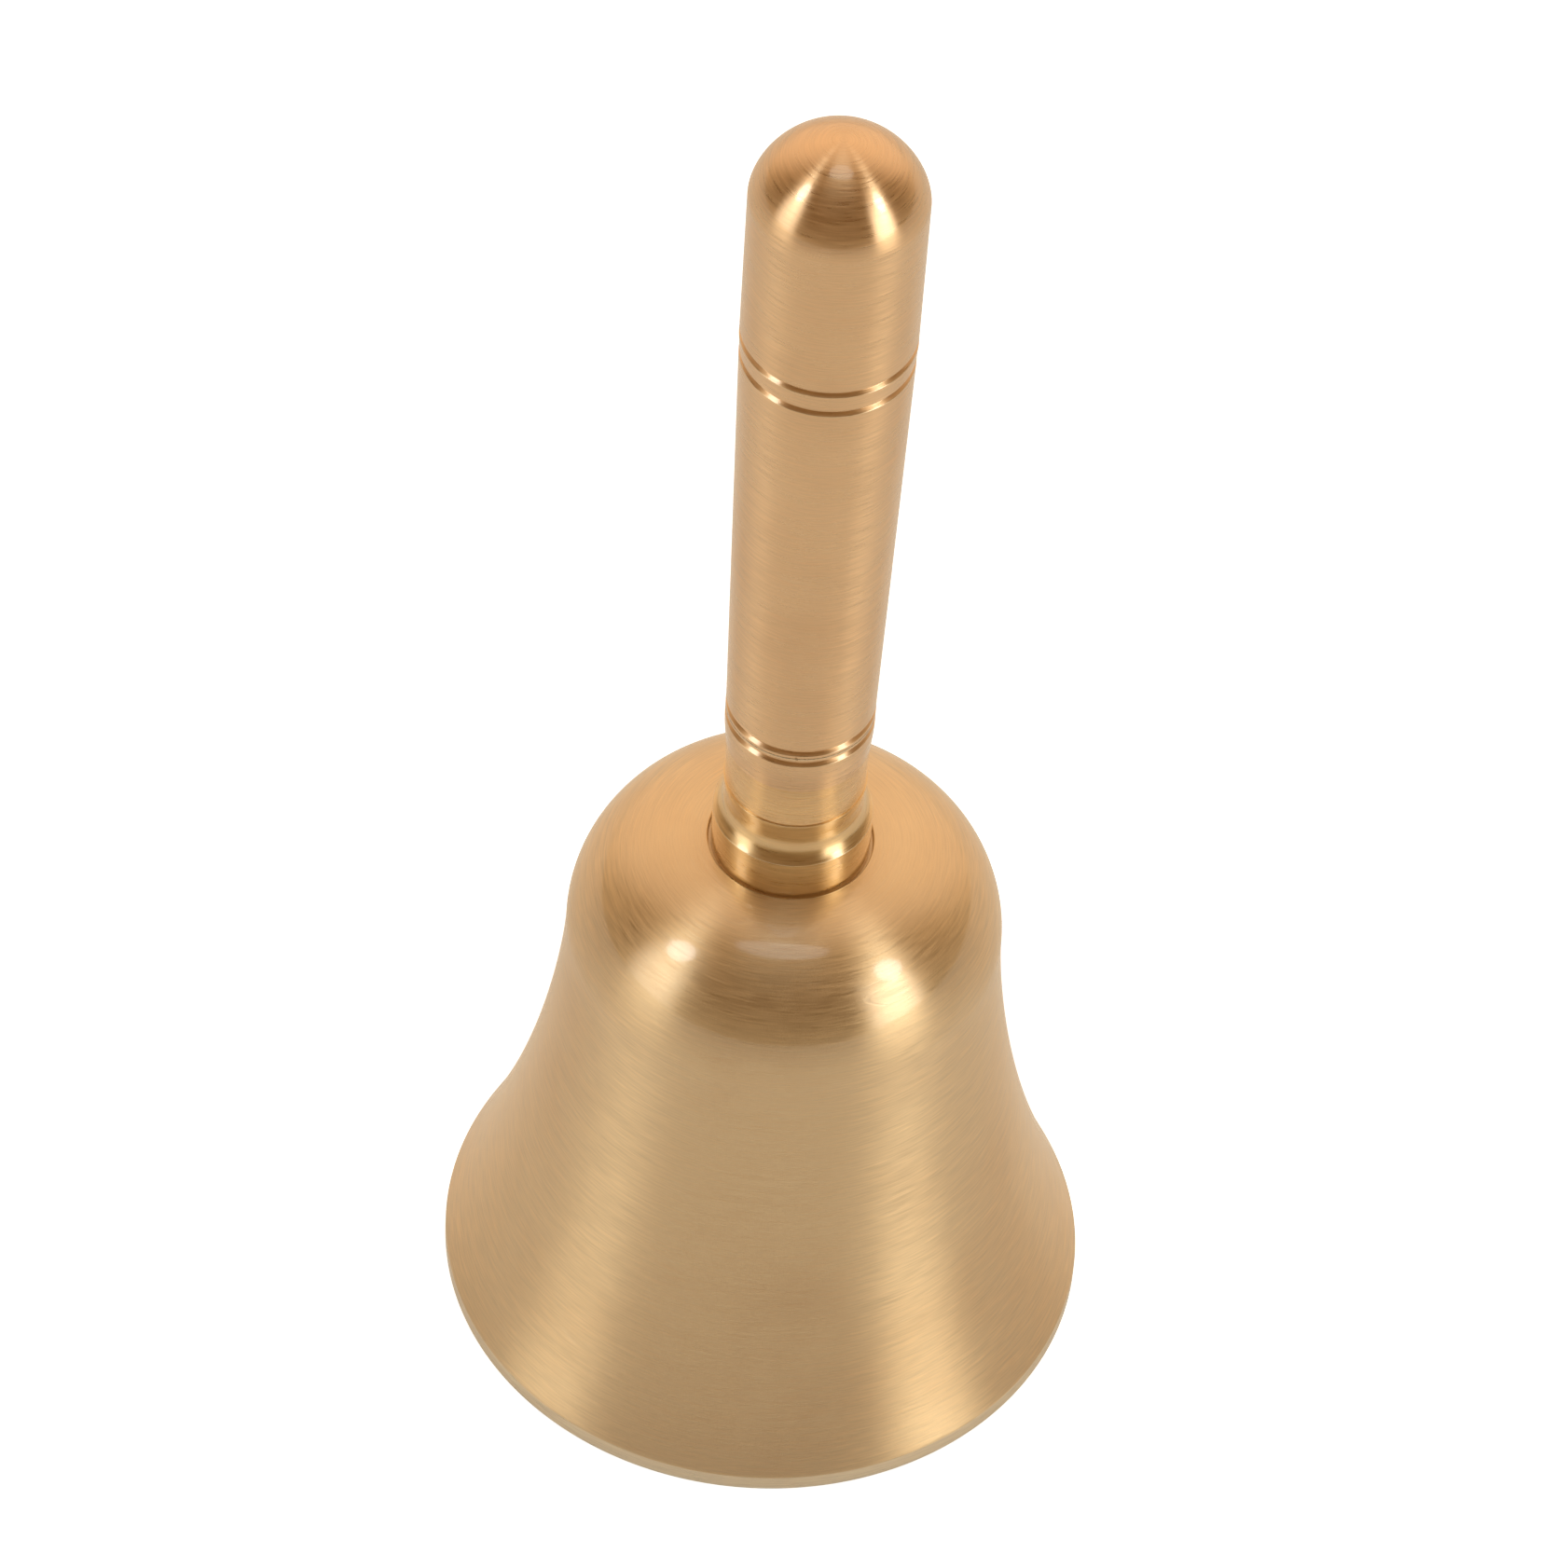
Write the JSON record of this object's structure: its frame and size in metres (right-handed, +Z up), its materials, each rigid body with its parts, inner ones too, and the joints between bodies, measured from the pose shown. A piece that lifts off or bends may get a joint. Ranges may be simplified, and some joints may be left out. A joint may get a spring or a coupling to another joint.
{
  "type": "hand bell",
  "caption": "Turned brass hand bell with a flared body, a collar, a long round-ended handle and a hanging clapper that swings to any side.",
  "frame": {"origin": "centre of the lip's rest plane, on the turning axis", "axes": "+Z up along the axis the bell and handle are turned on, towards the handle's round end; the clapper's hinge lies along Y at rest"},
  "size_m": [0.05, 0.05, 0.1232],
  "materials": {
    "bell_brass": "satin, fine turning marks round the axis",
    "handle_brass": "satin, fine turning marks round the axis",
    "collar_brass": "turned smooth, brighter than the handle",
    "clapper_brass": "turned, lightly tarnished",
    "plated_steel": "zinc-plated fasteners"
  },
  "bodies": {
    "bell": {"bell_shell": "bell_brass", "collar": "collar_brass", "handle": "handle_brass", "suspension_stud": "plated_steel", "crown_washer": "plated_steel", "lock_washer": "plated_steel", "crown_nut": "plated_steel"},
    "yoke": {"clapper_yoke": "clapper_brass", "clapper_pin": "plated_steel"},
    "clapper": {"clapper_rod": "clapper_brass", "clapper_ball": "clapper_brass", "ball_jam_nut": "plated_steel"}
  },
  "joints": [
    {"name": "yoke_swivel", "type": "hinge", "parent": "bell", "child": "yoke", "pos_m": [0, 0, 0.0394], "axis": [0, 0, 1], "continuous": true},
    {"name": "clapper_swing", "type": "hinge", "parent": "yoke", "child": "clapper", "pos_m": [0, 0, 0.032], "axis": [0, 1, 0], "range_deg": [-32.4, 32.4]}
  ]
}
